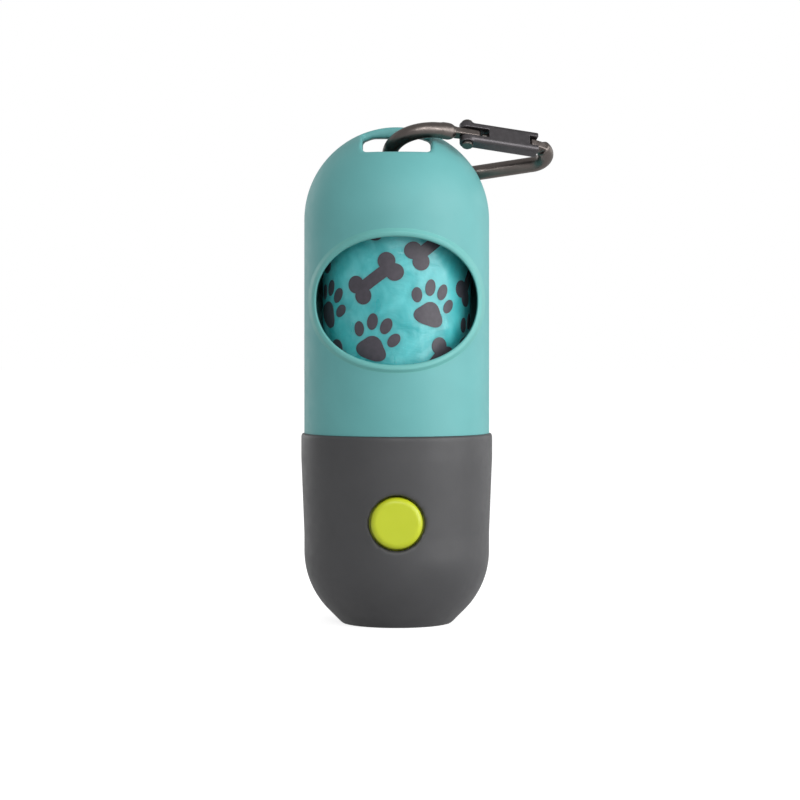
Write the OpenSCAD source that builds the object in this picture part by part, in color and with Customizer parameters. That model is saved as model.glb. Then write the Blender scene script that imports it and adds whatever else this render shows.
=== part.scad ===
// Dog poop bag dispenser: a capsule with a bag roll in the upper shell, a small
// flashlight in the lower cup, and a spring-gate carabiner under the dome's strap.
// Millimetres. Z is up, the origin is the centre of the base, and -Y is the front.

/* [Cup] */
// Height of the rim above the base
cup_h = 43.6; // [42:0.2:48]
// How far the cup's rim stands out of the shell
rim_step = 0.7; // [0.4:0.1:1]
// How far the cup's waist lies in from its rim
waist_step = 0.7; // [0.4:0.1:1]
// Diameter of the flat base
base_d = 25.2; // [24.6:0.2:27]
// Radius of the curve between the waist and the chamfer at the base
base_round_r = 19; // [17:0.5:20]
// Wall of the cup
cup_wall = 2; // [1.8:0.1:2.2]

/* [Shell] */
// Outer diameter of the shell
shell_d = 42.6; // [42.2:0.1:43]
// Wall of the shell
shell_wall = 1.8; // [1.6:0.1:1.9]
// Length of the shell from the cup's rim to the apex
shell_len = 70.4; // [69:0.2:76]

/* [Window] */
// How far the window's sides lie in from the shell's sides, seen from the front
window_inset = 3; // [2.8:0.1:5]
// Height of the window
window_h = 28.6; // [24:0.2:30]
// Height of the window's centre above the cup's rim
window_rise = 30.3; // [28:0.1:31]
// Height of the raised lip round the window
lip_rise = 0.6; // [0.3:0.1:0.9]
// Width of the raised lip, seen from the front
lip_w = 1.9; // [1.2:0.1:2.2]

/* [Hanger] */
// Width of the strap and of the front slot
slot_w = 15.5; // [14:0.5:16]
// Depth of the front slot's lower edge under the apex
slot_drop = 6.5; // [6:0.1:8]
// Thickness of the strap at the apex
strap_t = 2.6; // [2.2:0.1:2.8]
// Breadth of the strap, front to back
strap_b = 5.2; // [4.6:0.1:5.6]
// How far the relief's sides lie in from the shell's sides, seen from the front
relief_inset = 2.7; // [2.3:0.1:2.9]
// Depth of the relief's shelf under the apex
relief_drop = 14.6; // [14.4:0.1:15.4]
// Thickness of the relief's shelf and back wall
relief_wall = 1.6; // [1.2:0.1:1.8]

/* [Closure] */
// Height of the neck that stands above the rim
neck_h = 7; // [5:0.5:9]
// Wall of the neck
neck_wall = 1.5; // [1.2:0.1:1.6]
// Thickness of the floor under the bags
floor_t = 2.4; // [2.2:0.1:3]
// Depth of the floor's top under the rim
floor_drop = 2; // [1.6:0.1:3]
// Radial gap between the neck and the shell, which holds the thread
thread_gap = 0.6; // [0.5:0.05:0.7]

/* [Bags] */
// Radial gap between a full roll of bags and the neck round it
roll_gap = 0.9; // [0.5:0.1:4]
// Length of the roll
roll_len = 54.5; // [50:0.5:55]
// Outer diameter of the cardboard core
core_d = 14; // [12:0.5:16]
// Wall of the cardboard core
core_wall = 1; // [0.8:0.1:1.5]

/* [Button] */
// Diameter of the button cap
button_d = 11.6; // [10:0.1:11.8]
// Height of the button's centre above the base
button_z = 24.3; // [24:0.1:27]
// Travel of the button
button_travel = 0.8; // [0.4:0.1:0.9]
// How far the cap stands out of the cup
button_out = 0.6; // [0.3:0.1:1]
// Radial gap round the button cap
button_gap = 0.45; // [0.3:0.05:0.5]

/* [Flashlight] */
// Diameter of the lens
lens_d = 21.6; // [20.6:0.2:22]
// Thickness of the lens
lens_t = 1.6; // [1.2:0.1:1.8]
// Depth of the lens inside the base opening
lens_recess = 1.6; // [1.2:0.1:1.8]
// Diameter of the LED
led_d = 5; // [4.6:0.1:5.2]
// Height of the lamp board above the base
board_z = 14.6; // [14.2:0.1:15]
// Thickness of the circuit boards
board_t = 1.2; // [1:0.1:1.6]
// Diameter of a button cell
cell_d = 11.6; // [11:0.1:11.8]
// Height of a button cell
cell_h = 5.4; // [5:0.1:5.5]
// Diameter of the screws' shanks
screw_d = 2; // [1.6:0.1:2.2]

/* [Carabiner] */
// Diameter of the carabiner's bar
bar_d = 3.6; // [3:0.1:3.8]
// Radius of the large bend, at the bar's centre
nose_r = 9.8; // [9.4:0.1:10.4]
// Radius of the small bend, at the bar's centre
heel_r = 4.1; // [3.8:0.1:4.4]
// Distance between the centres of the two bends
bend_gap = 22; // [21:0.1:23]
// Height of the gate across the carabiner's plane
gate_h = 5.2; // [4.8:0.1:5.4]
// Breadth of the gate in the carabiner's plane
gate_b = 3.6; // [3.4:0.1:4]
// Diameter of the gate's pivot pin
pin_d = 1.5; // [1.2:0.1:1.6]
// Tilt of the carabiner's plane, front side up, in degrees
clip_tilt = 31.5; // [31:0.5:33]

/* [Hidden] */

// Small amount by which a cutter passes the face that it cuts
cut = 1;
// Clearance of a fixed piece in its seat
seat_gap = 0.05;
// Clearance between pieces that move past each other
free_gap = 0.3;
// Radial clearance of a turning pin in its bore
pin_gap = 0.06;

// Cup
shell_r = shell_d / 2;
cup_r = shell_r + rim_step;
waist_r = cup_r - waist_step;
base_r = base_d / 2;
rim_chamfer = 0.3;
rim_band = 5.6;
// The curve meets the waist upright and the 45 degree chamfer smoothly
round_r0 = waist_r - base_round_r;
round_z = waist_r - base_r - base_round_r + base_round_r * sqrt(2);
waist_z = round_z + 4;
cavity_r = waist_r - cup_wall;
cavity_round_r = base_round_r - cup_wall;
seat_ledge = 1;
ledge_t = 1.5;
seat_z = cup_h - floor_drop - floor_t;
rim_bore_r = cup_r - cup_wall - 0.1;
// Angle steps of the curve in the cup's profile
round_steps = 10;

// Lens stack, from the base up
lens_r = lens_d / 2;
lens_z = lens_recess;
pocket_r = lens_r + 0.2;
opening_r = lens_r - 1;
seal_t = 0.8;
seal_w = 1.2;
seal_z = lens_z + lens_t;
flange_t = 1;
flange_z = seal_z + seal_t;
pocket_top = flange_z + flange_t;

// LED and reflector
led_r = led_d / 2;
led_flange_r = led_r + 0.4;
led_flange_t = 1;
led_len = 8.6;
led_tip_z = board_z - led_len;
mirror_wall = 0.8;
mirror_top_r = led_flange_r + 0.3;
mirror_top_z = board_z;
mirror_neck_z = board_z - 3.2;
mirror_mouth_r = lens_r - seal_w + 0.2;
mirror_steps = 8;

// Lamp board and its posts
board_r = cavity_r - 2.1;
board_top = board_z + board_t;
post_r = 2;
post_ring_r = board_r - 2.4;
post_angles = [90, 210, 330];
screw_r = screw_d / 2;
screw_head_r = screw_r * 1.8;
screw_head_t = 1.2;
board_screw_len = 6;

// Batteries, stacked under the door
stack_y = 3;
cell_count = 3;
cell_r = cell_d / 2;
holder_bore_r = cell_r + 0.15;
holder_wall = 1.2;
holder_r = holder_bore_r + holder_wall;
holder_floor = 1.2;
door_t = 1.4;
door_r = 8;
door_top = cup_h - floor_drop;
door_z = door_top - door_t;
contact_t = 0.3;
contact_r = cell_r - 0.4;
cells_top = door_z - contact_t;
cells_z = cells_top - cell_count * cell_h;
door_hole_r = contact_r + 1.2;
ear_r = 3;
ear_x = door_r + 1.4;
door_screw_len = 1.2;
holder_top = seat_z;
door_head_t = 0.8;
// Cross recess in a screw's head
cross_w = 0.4;
cross_len = 2.2;
cross_t = 0.4;
// Hole in the holder's floor for the spring's tail
tail_hole_r = 1.5;
strip_w = 2.8;
strip_t = 0.3;
strip_y = cell_r + seat_gap;
strip_slot_w = strip_w + 0.4;
strip_slot_depth = 1.1;

// Contact spring: a helix with closed ends
spring_wire_r = 0.3;
spring_r = 3.2;
spring_z0 = board_top + holder_floor;
spring_turns = 4;
spring_steps = 14;

// Roll seat
neck_r = shell_r - shell_wall - thread_gap;
neck_bore_r = neck_r - neck_wall;
seat_r = rim_bore_r - seat_gap;

// Shell
shell_bore_r = shell_r - shell_wall;
apex_z = cup_h + shell_len;
dome_z = apex_z - shell_r;
window_z = cup_h + window_rise;
window_w = shell_d - 2 * window_inset;
window_steps = 72;
// 2 gives an ellipse, and more gives squarer corners
window_power = 2.15;
relief_w = shell_d - 2 * relief_inset;
relief_floor_z = apex_z - relief_drop;
relief_front_y = strap_b / 2;

// Bags
bags_z = door_top + free_gap;
roll_r = neck_bore_r - roll_gap;
core_r = core_d / 2;

// Button and switch, on the front of the cup
button_r = button_d / 2;
button_hole_r = button_r + button_gap;
button_face_y = -(waist_r + button_out);
button_edge = 1;
button_flange_r = button_r + 1.4;
button_flange_t = 1;
button_flange_y = -sqrt(pow(cavity_r, 2) - pow(button_flange_r, 2)) + free_gap;
button_back_y = button_flange_y + button_flange_t;
plunger_r = 1.6;
switch_size = 6;
switch_front_y = button_back_y + button_travel + 1.6;
switch_depth = 3.5;
plunger_end_y = switch_front_y + 0.8;
plunger_hole_depth = 0.8 + button_travel + free_gap;
switch_board_y = switch_front_y + switch_depth;
switch_board_w = 13;

// Carabiner, in its own plane: X along it, +Y towards the back bar
bar_r = bar_d / 2;
bend_angle = acos((nose_r - heel_r) / bend_gap);
gate_line = bend_gap * sin(bend_angle);
// The bar swells a little before the pivot and ends round
collar_r = bar_r + 0.15;
collar_lap = 0.6;
collar_end = 2.9;
collar_steps = 6;
// The back bar is a hair thinner than the bends, so that its ends lie inside them
spine_step = 0.02;
spine_lap = 0.1;
pin_r = pin_d / 2;
pin_x = 5.5;
pin_head_r = pin_r + 0.55;
pin_head_t = 0.7;
tang_t = 1.7;
tang_r = 1.3;
tang_reach = 2;
// The small bend stops short of the gate line and ends in a flat tongue
tongue_turn = 35;
tongue_t = 1.9;
tongue_half = 1.2;
tongue_x = gate_line - 0.8;
gate_start = pin_x - gate_b / 2;
gate_end = gate_line + 0.75;
gate_corner = 0.9;
fork_gap = tang_t + 2 * 0.2;
fork_end = pin_x + tang_reach + tang_r + 1.4;
latch_gap = tongue_t + 2 * 0.25;
latch_x = tongue_x - 0.5;
plunger_bore_r = 0.8;
plunger_bore_len = 6;
plunger_x = pin_x + tang_reach + tang_r + 0.15;
plunger_len = 3.4;
gate_coil_r = 0.5;
gate_coil_wire_r = 0.15;
gate_coil_turns = 7;
gate_coil_steps = 10;
// Centre of the large bend, beside and below the strap
clip_pos = [8.2, -1, apex_z - 6.35];

$fn = 96;

// ---------- Shared shapes ----------

// Ring with a rectangular section
module ring(r_in, r_out, h) {
    difference() {
        cylinder(r = r_out, h = h);
        translate([0, 0, -cut]) cylinder(r = r_in, h = h + 2 * cut);
    }
}

// Oval outline: an ellipse whose power can be above 2
module oval(w, h) {
    function side(v) = sign(v) * pow(abs(v), 2 / window_power);
    polygon([for (i = [0 : window_steps - 1])
        let (a = (i + 0.5) * 360 / window_steps)
        [w / 2 * side(cos(a)), h / 2 * side(sin(a))]]);
}

// Prism on an oval outline, running forward from the axis at the window's height
module window_prism(w, h) {
    translate([0, 0, window_z]) rotate([90, 0, 0])
        linear_extrude(shell_r + 5) oval(w, h);
}

// Screw with its head's underside at z = 0 and its shank below
module pan_screw(len) {
    union() {
        translate([0, 0, -len]) cylinder(r = screw_r, h = len, $fn = 32);
        cylinder(r = screw_head_r, h = screw_head_t, $fn = 32);
    }
}

// Helix of round wire from z = 0 up, as one closed tube
module helix(r, wire_r, height, turns, steps) {
    sides = 6;
    count = turns * steps;
    rise = height - 2 * wire_r;
    function at(i, j) =
        let (a = i * 360 / steps, b = j * 360 / sides)
        [(r + wire_r * cos(b)) * cos(a), (r + wire_r * cos(b)) * sin(a),
         wire_r + rise * i / count + wire_r * sin(b)];
    points = [for (i = [0 : count]) for (j = [0 : sides - 1]) at(i, j)];
    walls = [for (i = [0 : count - 1]) for (j = [0 : sides - 1])
        let (k = (j + 1) % sides, p = i * sides, q = (i + 1) * sides)
        for (f = [[p + j, p + k, q + k], [p + j, q + k, q + j]]) f];
    first = [for (j = [1 : sides - 2]) [0, j + 1, j]];
    last_row = count * sides;
    last = [for (j = [1 : sides - 2]) [last_row, last_row + j, last_row + j + 1]];
    polyhedron(points, concat(first, walls, last));
}

// ---------- Shell ----------

module top_shell() color("#6fafae") {
    difference() {
        union() {
            translate([0, 0, cup_h]) cylinder(r = shell_r, h = dome_z - cup_h);
            translate([0, 0, dome_z]) intersection() {
                sphere(r = shell_r);
                cylinder(r = shell_r + cut, h = shell_r + cut);
            }
            // Raised lip round the window
            intersection() {
                translate([0, 0, cup_h])
                    cylinder(r = shell_r + lip_rise, h = dome_z - cup_h);
                window_prism(window_w + 2 * lip_w, window_h + 2 * lip_w);
            }
        }
        difference() {
            union() {
                translate([0, 0, cup_h - cut])
                    cylinder(r = shell_bore_r, h = dome_z - cup_h + cut);
                translate([0, 0, dome_z]) sphere(r = shell_bore_r);
            }
            strap_zone();
            relief_walls();
        }
        window_prism(window_w, window_h);
        front_slot();
        rear_relief();
    }
}

// Material kept under the dome's apex, which thickens the strap
module strap_zone() {
    translate([-shell_r, -strap_b / 2, apex_z - strap_t])
        cube([shell_d, strap_b, strap_t]);
}

// Shelf and front wall of the relief, inside the dome
module relief_walls() {
    wide = relief_w + 2 * relief_wall;
    translate([-wide / 2, relief_front_y - relief_wall, relief_floor_z - relief_wall])
        cube([wide, shell_r, relief_wall]);
    for (side = [-1, 1]) {
        x = side > 0 ? slot_w / 2 : -relief_w / 2 - relief_wall;
        w = relief_w / 2 + relief_wall - slot_w / 2;
        translate([x, relief_front_y - relief_wall, relief_floor_z - relief_wall])
            cube([w, relief_wall, relief_drop + relief_wall]);
    }
}

// Slot in front of the strap
module front_slot() {
    translate([-slot_w / 2, -shell_r, apex_z - slot_drop])
        cube([slot_w, shell_r - strap_b / 2, slot_drop + cut]);
}

// Relief behind the strap, where the carabiner's back bar lies and swings
module rear_relief() {
    translate([-relief_w / 2, relief_front_y, relief_floor_z])
        cube([relief_w, shell_r, relief_drop + cut]);
}

// ---------- Cup ----------

// Points of the lower curve, from the chamfer up to the waist
function lower_curve(r, from_angle) = [for (i = [0 : round_steps])
    let (a = from_angle * (1 - i / round_steps))
    [round_r0 + r * cos(a), round_z - r * sin(a)]];

module flashlight_cup() color("#4f4f50") {
    floor_angle = asin((round_z - pocket_top) / cavity_round_r);
    ledge_r = cavity_r - seat_ledge;
    difference() {
        union() {
            rotate_extrude() polygon(concat(
                [[opening_r, 0], [base_r, 0]],
                lower_curve(base_round_r, 45),
                [[waist_r, waist_z], [cup_r, cup_h - rim_band],
                 [cup_r, cup_h - rim_chamfer], [cup_r - rim_chamfer, cup_h],
                 [rim_bore_r, cup_h], [rim_bore_r, seat_z], [ledge_r, seat_z],
                 [ledge_r, seat_z - ledge_t], [cavity_r, seat_z - ledge_t - seat_ledge]],
                [for (p = [round_steps : -1 : 0])
                    lower_curve(cavity_round_r, floor_angle)[p]],
                [[pocket_r, pocket_top], [pocket_r, lens_z], [opening_r, lens_z]]));
            for (a = post_angles) board_post(a);
        }
        translate([0, 0, button_z]) rotate([90, 0, 0])
            cylinder(r = button_hole_r, h = 2 * cup_r);
        for (a = post_angles) rotate([0, 0, a])
            translate([post_ring_r, 0, board_z - board_screw_len + board_t])
                cylinder(r = screw_r, h = board_screw_len, $fn = 32);
    }
}

// Post that carries the lamp board, joined to the sloping wall below it
module board_post(a) {
    rotate([0, 0, a]) intersection() {
        translate([post_ring_r, 0, pocket_top - cup_wall / 2])
            cylinder(r = post_r, h = board_z - pocket_top + cup_wall / 2, $fn = 48);
        rotate_extrude() polygon(concat(
            [[pocket_r + 0.2, board_z], [pocket_r + 0.2, pocket_top - cup_wall / 2]],
            lower_curve(base_round_r - cup_wall / 2, 45),
            [[waist_r - cup_wall / 2, board_z + cut]]));
    }
}

// Divider that the bags stand on, with the neck that the shell screws onto
module roll_seat() color("#57575a") {
    difference() {
        union() {
            translate([0, 0, seat_z]) cylinder(r = seat_r, h = cup_h - seat_z);
            translate([0, 0, cup_h]) cylinder(r = neck_r, h = neck_h);
        }
        translate([0, 0, door_top]) cylinder(r = neck_bore_r, h = neck_h + floor_drop + cut);
        translate([0, 0, door_z]) door_outline(seat_gap, door_t + cut);
        translate([0, stack_y, seat_z - cut]) cylinder(r = door_hole_r, h = floor_t + cut);
        door_screw_places() translate([0, 0, -door_screw_len + door_z - cut])
            cylinder(r = screw_r, h = door_screw_len + 2 * cut, $fn = 32);
    }
}

// Door's outline: a disc with two screw ears
module door_outline(gap, h) {
    translate([0, stack_y, 0]) {
        cylinder(r = door_r + gap, h = h);
        for (side = [-1, 1]) translate([side * ear_x, 0, 0])
            cylinder(r = ear_r + gap, h = h, $fn = 48);
    }
}

module door_screw_places() {
    for (side = [-1, 1]) translate([side * (ear_x + 0.2), stack_y, 0]) children();
}

module battery_door() color("#57575a") {
    difference() {
        translate([0, 0, door_z]) door_outline(0, door_t);
        door_screw_places() {
            translate([0, 0, door_z - cut]) cylinder(r = screw_r, h = door_t + 2 * cut, $fn = 32);
            translate([0, 0, door_top - door_head_t])
                cylinder(r = screw_head_r + seat_gap, h = door_t, $fn = 32);
        }
    }
}

module door_screws() color("silver") door_screw_places()
    difference() {
        union() {
            translate([0, 0, door_z - door_screw_len])
                cylinder(r = screw_r, h = door_screw_len + door_t - cross_t, $fn = 32);
            translate([0, 0, door_top - door_head_t])
                cylinder(r = screw_head_r, h = door_head_t, $fn = 32);
        }
        for (a = [0, 90]) rotate([0, 0, a])
            translate([-cross_len / 2, -cross_w / 2, door_top - cross_t])
                cube([cross_len, cross_w, cut]);
    }

// ---------- Batteries ----------

module contact_plate() color("gold") translate([0, stack_y, cells_top])
    cylinder(r = contact_r, h = contact_t);

module cell(i) color("silver") translate([0, stack_y, cells_z + i * cell_h]) {
    rim = 0.5;
    cap = 0.4;
    edge = 0.2;
    rotate_extrude() polygon([
        [0, 0], [cell_r - rim, 0], [cell_r - rim, cap], [cell_r, cap + edge],
        [cell_r, cell_h - edge], [cell_r - edge, cell_h], [0, cell_h]]);
}

module contact_spring() color("gold") translate([0, stack_y, spring_z0])
    helix(spring_r, spring_wire_r, cells_z - spring_z0, spring_turns, spring_steps);

module battery_holder() color("#2b2b2d") translate([0, stack_y, 0]) difference() {
    translate([0, 0, board_top]) cylinder(r = holder_r, h = holder_top - board_top);
    translate([0, 0, board_top + holder_floor])
        cylinder(r = holder_bore_r, h = holder_top);
    translate([0, 0, board_top - cut])
        cylinder(r = tail_hole_r, h = holder_floor + 2 * cut, $fn = 32);
    // Slot for the contact strip
    translate([-strip_slot_w / 2, holder_r - holder_wall / 2 - strip_slot_depth, board_top - cut])
        cube([strip_slot_w, strip_slot_depth, holder_top]);
}

// Bent strip from the cells' side contact down to the lamp board
module contact_strip() color("gold") translate([0, stack_y, 0]) {
    translate([-strip_w / 2, strip_y, board_top])
        cube([strip_w, strip_t, cells_top + contact_t - board_top]);
    // Foot that meets the contact plate
    difference() {
        translate([-strip_w / 2, strip_y - 1, cells_top])
            cube([strip_w, 1 + strip_t / 2, contact_t]);
        translate([0, 0, cells_top - cut])
            cylinder(r = contact_r, h = contact_t + 2 * cut);
    }
}

// ---------- Lamp ----------

module lamp_board() color("#2f6b3a") translate([0, 0, board_z]) difference() {
    cylinder(r = board_r, h = board_t);
    for (a = post_angles) rotate([0, 0, a]) translate([post_ring_r, 0, -cut])
        cylinder(r = screw_r + 0.1, h = board_t + 2 * cut, $fn = 32);
}

module board_screws() color("silver") for (a = post_angles) rotate([0, 0, a])
    translate([post_ring_r, 0, board_top]) pan_screw(board_screw_len - 0.2);

module led() color("#f4f4e8") {
    translate([0, 0, board_z - led_flange_t])
        cylinder(r = led_flange_r, h = led_flange_t, $fn = 48);
    translate([0, 0, led_tip_z + led_r])
        cylinder(r = led_r, h = led_len - led_flange_t - led_r, $fn = 48);
    translate([0, 0, led_tip_z + led_r]) intersection() {
        sphere(r = led_r, $fn = 48);
        translate([0, 0, -led_r]) cube(2 * led_r, center = true);
    }
}

// Points of the mirror's paraboloid, from its neck down to its mouth
function mirror_curve(offset) = [for (i = [0 : mirror_steps])
    let (t = i / mirror_steps)
    [mirror_top_r + offset + (mirror_mouth_r - mirror_top_r) * sqrt(t),
     mirror_neck_z + (flange_z - mirror_neck_z) * t]];

module reflector() color("#e8e8ea") rotate_extrude() polygon(concat(
    [[mirror_top_r, mirror_top_z]], mirror_curve(0),
    [[lens_r, flange_z], [lens_r, flange_z + flange_t]],
    [for (p = [mirror_steps - 1 : -1 : 0]) mirror_curve(mirror_wall)[p]],
    [[mirror_top_r + mirror_wall, mirror_top_z]]));

module lens() color("#dfe8ea") translate([0, 0, lens_z]) cylinder(r = lens_r, h = lens_t);

module lens_seal() color("#222222") translate([0, 0, seal_z])
    ring(lens_r - seal_w, lens_r, seal_t);

// ---------- Button and switch ----------

module button_cap() color("#c2cc31") translate([0, 0, button_z]) rotate([-90, 0, 0]) {
    rotate_extrude() union() {
        translate([0, button_face_y + button_edge])
            square([button_r, button_flange_y - button_face_y - button_edge]);
        translate([0, button_face_y]) square([button_r - button_edge, button_edge + 0.1]);
        intersection() {
            translate([button_r - button_edge, button_face_y + button_edge])
                circle(r = button_edge, $fn = 48);
            translate([0, button_face_y]) square([button_r, 2 * button_edge]);
        }
        translate([0, button_flange_y]) square([button_flange_r, button_flange_t]);
    }
}

module switch_plunger() color("#d8d8d8") translate([0, button_back_y, button_z])
    rotate([-90, 0, 0])
        cylinder(r = plunger_r, h = plunger_end_y - button_back_y, $fn = 48);

module switch_body() color("#1e1e20") difference() {
    translate([-switch_size / 2, switch_front_y, button_z - switch_size / 2])
        cube([switch_size, switch_depth, switch_size]);
    translate([0, switch_front_y - cut, button_z]) rotate([-90, 0, 0])
        cylinder(r = plunger_r + 0.1, h = plunger_hole_depth + cut, $fn = 48);
}

module switch_board() color("#2f6b3a")
    translate([-switch_board_w / 2, switch_board_y, board_top])
        cube([switch_board_w, board_t, button_z + switch_size - board_top]);

// ---------- Bags ----------

module bag_roll() color("#65aeb1") translate([0, 0, bags_z])
    ring(core_r + seat_gap, roll_r, roll_len);

module roll_core() color("#b89b72") translate([0, 0, bags_z])
    ring(core_r - core_wall, core_r, roll_len);

// ---------- Carabiner ----------

// Places the carabiner's own plane in the hanger
module in_clip_plane() {
    translate(clip_pos) rotate([-clip_tilt, 0, 0]) children();
}

// X along the gate from the large bend's end, +Y into the loop
module on_gate_line() {
    translate([nose_r * cos(bend_angle), -nose_r * sin(bend_angle), 0])
        rotate([0, 0, 90 - bend_angle]) children();
}

// Arc of the bar about the origin, from one angle through a sweep
module bar_arc(r, from, sweep) {
    rotate([0, 0, from]) rotate_extrude(angle = sweep)
        translate([r, 0]) circle(r = bar_r, $fn = 40);
}

module carabiner_body() color("#5a5552") in_clip_plane() {
    // Large bend, back bar and small bend
    bar_arc(nose_r, bend_angle, 360 - 2 * bend_angle);
    translate([nose_r * cos(bend_angle), nose_r * sin(bend_angle), 0])
        rotate([0, 90, bend_angle - 90])
            translate([0, 0, -spine_lap])
                cylinder(r = bar_r - spine_step, h = gate_line + 2 * spine_lap, $fn = 40);
    translate([bend_gap, 0, 0])
        bar_arc(heel_r, -bend_angle + tongue_turn, 2 * bend_angle - tongue_turn);
    on_gate_line() {
        rotate([0, 90, 0]) rotate_extrude($fn = 48) polygon(concat(
            [[0, collar_end], [0, -collar_lap], [collar_r, -collar_lap]],
            [for (i = [0 : collar_steps - 1])
                let (a = 90 * i / collar_steps)
                [collar_r * cos(a), collar_end - collar_r * (1 - sin(a))]]));
        pivot_tang();
        latch_tongue();
    }
}

// Flat tang round the pivot pin, with a rounded end that the plunger faces
module pivot_tang() {
    difference() {
        union() {
            translate([collar_end - cut, -tang_r, -tang_t / 2])
                cube([pin_x + tang_reach - collar_end + cut, 2 * tang_r, tang_t]);
            translate([pin_x + tang_reach, 0, -tang_t / 2])
                cylinder(r = tang_r, h = tang_t, $fn = 48);
        }
        translate([pin_x, 0, -tang_t])
            cylinder(r = pin_r + pin_gap, h = 2 * tang_t, $fn = 48);
    }
}

// Flat tongue at the end of the small bend, which the gate's slot closes over
module latch_tongue() {
    end_x = gate_line + heel_r * sin(tongue_turn);
    end_y = heel_r * (1 - cos(tongue_turn));
    across = bar_r - 0.4;
    translate([0, 0, -tongue_t / 2]) linear_extrude(tongue_t) polygon([
        [tongue_x, -tongue_half], [tongue_x, tongue_half],
        [end_x - across * sin(tongue_turn) + 0.2, end_y + across * cos(tongue_turn)],
        [end_x + 0.5, end_y + 0.4],
        [end_x + across * sin(tongue_turn), end_y - across * cos(tongue_turn) + 0.1]]);
}

// Rounded rectangle, centred
module rounded(w, h, r) {
    square([w - 2 * r, h], center = true);
    square([w, h - 2 * r], center = true);
    for (x = [-1, 1]) for (y = [-1, 1])
        translate([x * (w / 2 - r), y * (h / 2 - r)]) circle(r = r, $fn = 32);
}

// Gate: a bar forked round the tang at one end and slotted for the tongue at the other
module gate() color("#5f5b59") in_clip_plane() on_gate_line() difference() {
    union() {
        translate([pin_x, 0, 0]) rotate([90, 0, 90])
            linear_extrude(gate_end - pin_x) rounded(gate_b, gate_h, gate_corner);
        translate([pin_x, 0, -gate_h / 2]) cylinder(r = gate_b / 2, h = gate_h, $fn = 64);
    }
    translate([gate_start - cut, -gate_b, -fork_gap / 2])
        cube([fork_end - gate_start + cut, 2 * gate_b, fork_gap]);
    translate([latch_x, -gate_b, -latch_gap / 2])
        cube([gate_end - latch_x + cut, 2 * gate_b, latch_gap]);
    translate([pin_x, 0, -gate_h]) cylinder(r = pin_r, h = 2 * gate_h, $fn = 48);
    // Bore for the spring and its plunger
    translate([fork_end - cut, 0, 0]) rotate([0, 90, 0])
        cylinder(r = plunger_bore_r, h = plunger_bore_len + cut, $fn = 32);
}

// Rivet through the gate's fork and the tang, with a head on each side
module gate_pin() color("#8a8784") in_clip_plane() on_gate_line() translate([pin_x, 0, 0]) {
    translate([0, 0, -gate_h / 2]) cylinder(r = pin_r, h = gate_h, $fn = 48);
    for (side = [-1, 1]) translate([0, 0, side * (gate_h + pin_head_t) / 2 - pin_head_t / 2])
        cylinder(r = pin_head_r, h = pin_head_t, $fn = 48);
}

module gate_spring() color("silver") in_clip_plane() on_gate_line()
    translate([plunger_x + plunger_len, 0, 0]) rotate([0, 90, 0])
        helix(gate_coil_r, gate_coil_wire_r,
            fork_end + plunger_bore_len - plunger_x - plunger_len,
            gate_coil_turns, gate_coil_steps);

module gate_plunger() color("#8a8784") in_clip_plane() on_gate_line()
    translate([plunger_x, 0, 0]) rotate([0, 90, 0])
        cylinder(r = plunger_bore_r - 0.1, h = plunger_len, $fn = 32);

// ---------- Nodes ----------

top_shell();
flashlight_cup();
roll_seat();
battery_door();
door_screws();
contact_plate();
cell(0);  // cell_1
cell(1);  // cell_2
cell(2);  // cell_3
contact_spring();
battery_holder();
contact_strip();
lamp_board();
board_screws();
led();
reflector();
lens();
lens_seal();
switch_body();
switch_board();
switch_plunger();
button_cap();
bag_roll();
roll_core();
carabiner_body();
gate();
gate_pin();
gate_spring();
gate_plunger();
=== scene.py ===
"""Looks of a dog poop bag dispenser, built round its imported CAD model.

The dispenser is a capsule: a teal shell over a roll of bags, a grey cup that holds a
small flashlight, and a gunmetal carabiner under the strap of the dome. Pieces are
modelled in millimetres and turned into metres when they are finished. Z is up, the
front is towards -Y, and the origin is the centre of the base.
"""

import logging
import math
from dataclasses import dataclass
from enum import Enum
from typing import Callable, Sequence

import bpy
from mathutils import Matrix, Vector, noise


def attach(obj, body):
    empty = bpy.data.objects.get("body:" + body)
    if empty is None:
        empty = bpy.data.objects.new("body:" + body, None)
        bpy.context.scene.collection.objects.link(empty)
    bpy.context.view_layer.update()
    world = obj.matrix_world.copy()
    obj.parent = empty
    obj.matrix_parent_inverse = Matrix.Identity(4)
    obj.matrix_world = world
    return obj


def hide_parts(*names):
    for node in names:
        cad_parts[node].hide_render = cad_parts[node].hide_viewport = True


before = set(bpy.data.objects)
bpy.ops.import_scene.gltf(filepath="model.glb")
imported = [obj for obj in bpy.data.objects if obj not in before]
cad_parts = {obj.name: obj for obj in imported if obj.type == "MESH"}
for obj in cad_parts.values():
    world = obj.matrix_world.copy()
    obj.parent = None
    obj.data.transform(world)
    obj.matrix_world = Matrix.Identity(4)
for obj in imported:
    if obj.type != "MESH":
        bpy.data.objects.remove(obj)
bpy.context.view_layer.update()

Point2 = tuple[float, float]
Point3 = tuple[float, float, float]
Colour = tuple[int, int, int]

LOG = logging.getLogger("dispenser")
CLIP_PIECES = ("carabiner_bar", "carabiner_gate", "gate_rivet")
FULL_TURN = 2 * math.pi
MM = 0.001
MERGE_MM = 1e-4
NEAR_MM = 0.01
NOISE_LOW, NOISE_HIGH = 0.3, 0.7
MIX_FACTOR, MIX_FIRST, MIX_SECOND, MIX_RESULT = 0, 6, 7, 2


class Body(Enum):
    """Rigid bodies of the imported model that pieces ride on."""

    FLASHLIGHT = "flashlight"
    SHELL = "shell"
    ROLL = "roll"
    BUTTON = "button"
    CARABINER = "carabiner"
    GATE = "gate"


class Motif(Enum):
    """Small pictures printed on the bags."""

    PAW = "paw"
    BONE = "bone"


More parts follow.
